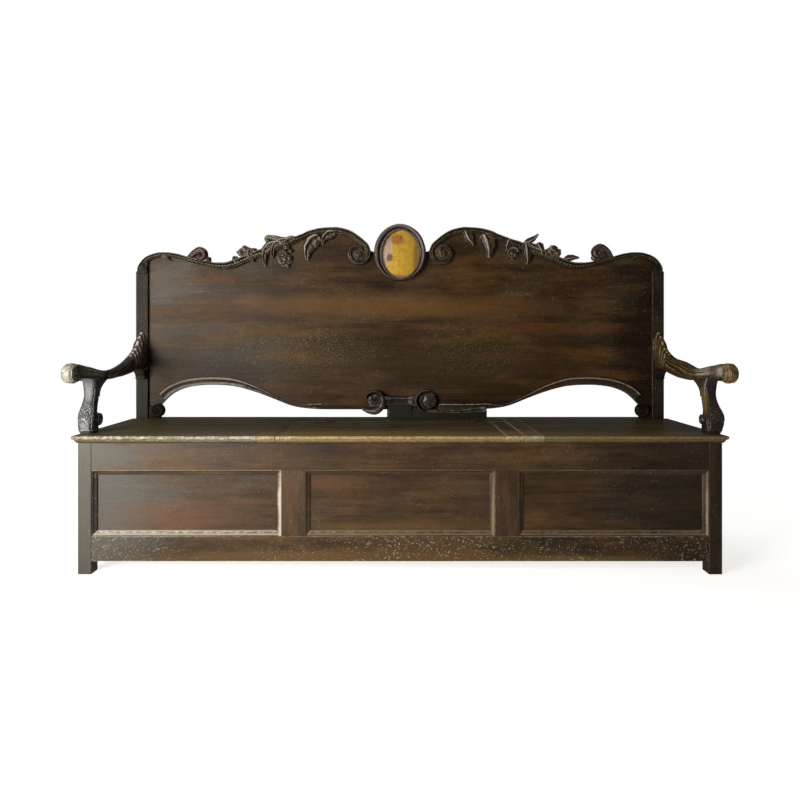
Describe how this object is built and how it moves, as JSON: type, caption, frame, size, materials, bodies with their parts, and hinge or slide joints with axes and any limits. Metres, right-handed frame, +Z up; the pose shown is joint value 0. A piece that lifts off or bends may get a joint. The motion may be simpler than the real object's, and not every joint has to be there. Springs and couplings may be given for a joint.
{
  "type": "settle bench",
  "caption": "Carved wooden box settle: panelled chest with a lift-up seat lid, tall shaped back with a carved crest and a gilt medallion, and scrolled arms.",
  "frame": {"origin": "on the floor under the middle of the bench, half-way between the front lip of the seat and the rear faces of the back posts", "axes": "+X to the right of a person who looks at the front, -Y out of the front, +Z up"},
  "size_m": [2.1962, 0.5, 1.2175],
  "materials": {
    "walnut": "very dark brown waxed wood with a soft gloss",
    "worn_walnut": "dark brown waxed wood, worn light along its edges",
    "pale_wood": "dry unpolished wood inside and behind the chest",
    "gilt": "old gilding, rubbed and stained",
    "iron": "dark forged iron"
  },
  "bodies": {
    "frame": {"front_leg_left": "walnut", "front_leg_right": "walnut", "rear_post_left": "walnut", "rear_post_right": "walnut", "front_top_rail": "walnut", "front_muntin_left": "walnut", "front_muntin_right": "walnut", "front_panel_left": "walnut", "front_panel_centre": "walnut", "front_panel_right": "walnut", "side_bottom_rail_left": "walnut", "side_bottom_rail_right": "walnut", "side_top_rail_left": "walnut", "side_top_rail_right": "walnut", "side_panel_left": "walnut", "side_panel_right": "walnut", "back_board_lower": "walnut", "back_board_upper": "walnut", "crest_left": "walnut", "crest_right": "walnut", "medallion_ring": "walnut", "arch_moulding_left": "walnut", "arch_moulding_right": "walnut", "corner_scroll_left": "walnut", "corner_scroll_right": "walnut", "base_scroll": "walnut", "front_bottom_rail": "worn_walnut", "panel_moulding_left": "worn_walnut", "panel_moulding_centre": "worn_walnut", "panel_moulding_right": "worn_walnut", "seat_board_front_left": "worn_walnut", "seat_board_front_right": "worn_walnut", "seat_board_rear_left": "worn_walnut", "seat_board_rear_right": "worn_walnut", "seat_cleat_left": "worn_walnut", "seat_cleat_right": "worn_walnut", "hinge_rail": "worn_walnut", "arm_left": "worn_walnut", "arm_right": "worn_walnut", "arm_support_left": "worn_walnut", "arm_support_right": "worn_walnut", "rear_bottom_rail": "pale_wood", "rear_top_rail": "pale_wood", "rear_panel": "pale_wood", "seat_bearer_left": "pale_wood", "seat_bearer_right": "pale_wood", "floor_batten_front": "pale_wood", "floor_batten_rear": "pale_wood", "floor_board": "pale_wood", "medallion_plate": "gilt", "hinge_leaf_rail_left": "iron", "hinge_leaf_rail_right": "iron", "hinge_pin_left": "iron", "hinge_pin_right": "iron"},
    "lid": {"lid_board_front": "worn_walnut", "lid_board_rear": "worn_walnut", "lid_cleat_left": "worn_walnut", "lid_cleat_right": "worn_walnut", "hinge_leaf_lid_left": "iron", "hinge_leaf_lid_right": "iron"}
  },
  "joints": [
    {"name": "lid_hinge", "type": "hinge", "parent": "frame", "child": "lid", "pos_m": [0, 0.1, 0.451], "axis": [-1, 0, 0], "range_deg": [0, 108]}
  ]
}
